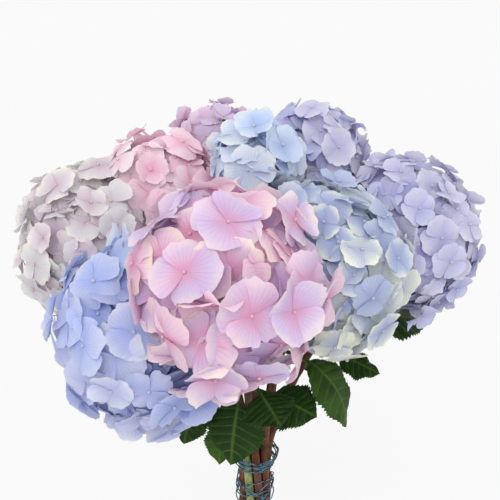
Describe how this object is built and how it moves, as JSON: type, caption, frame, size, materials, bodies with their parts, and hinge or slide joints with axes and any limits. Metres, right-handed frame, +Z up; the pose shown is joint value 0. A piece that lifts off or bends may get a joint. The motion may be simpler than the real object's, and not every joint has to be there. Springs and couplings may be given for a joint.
{
  "type": "hydrangeas in a vase",
  "caption": "Hand-tied bunch of round mophead hydrangeas in pink, lilac and blue, bound with wire, standing in a plain ceramic vase.",
  "frame": {"origin": "centre of the vase's flat foot, on the surface it stands on", "axes": "+Z up the vase and stems; the bunch's front faces -Y, +X to its right"},
  "size_m": [0.4175, 0.3709, 0.6895],
  "materials": {
    "ceramic": "satin off-white glaze",
    "woody_stem": "rough brown bark",
    "green_stem": "smooth young green stem",
    "petals_pink": "matt petals, pink to cream",
    "petals_rose": "matt petals, rose pink",
    "petals_lilac": "matt petals, lilac pink",
    "petals_pearl": "matt petals, pearl lilac",
    "petals_blue": "matt petals, clear blue",
    "petals_pale_blue": "matt petals, pale blue with cream edges",
    "petals_lavender": "matt petals, lavender blue",
    "petals_mist_blue": "matt petals, misty blue to greenish cream",
    "leaf": "satin dark green leaf",
    "wire": "blue-grey coated wire"
  },
  "bodies": {
    "root": {"vase": "ceramic", "stem_front": "woody_stem", "stem_left_back": "woody_stem", "stem_back_left": "woody_stem", "stem_left": "woody_stem", "stem_left_front": "green_stem", "stem_top": "woody_stem", "stem_back_right": "woody_stem", "stem_right": "woody_stem", "stem_right_front": "woody_stem", "head_front": "petals_pink", "head_left_back": "petals_rose", "head_back_left": "petals_lilac", "head_left": "petals_pearl", "head_left_front": "petals_blue", "head_top": "petals_pale_blue", "head_back_right": "petals_lavender", "head_right": "petals_lavender", "head_right_front": "petals_mist_blue", "leaf_front": "leaf", "leaf_front_middle": "leaf", "leaf_front_right": "leaf", "leaf_right_front": "leaf", "leaf_right_low": "leaf", "leaf_right": "leaf", "leaf_back_right": "leaf", "leaf_back_right_low": "leaf", "leaf_back": "leaf", "leaf_back_left": "leaf", "leaf_back_left_low": "leaf", "leaf_left": "leaf", "leaf_left_front": "leaf", "leaf_left_low": "leaf", "binding_wire_upper": "wire", "binding_wire_lower": "wire"}
  },
  "joints": []
}
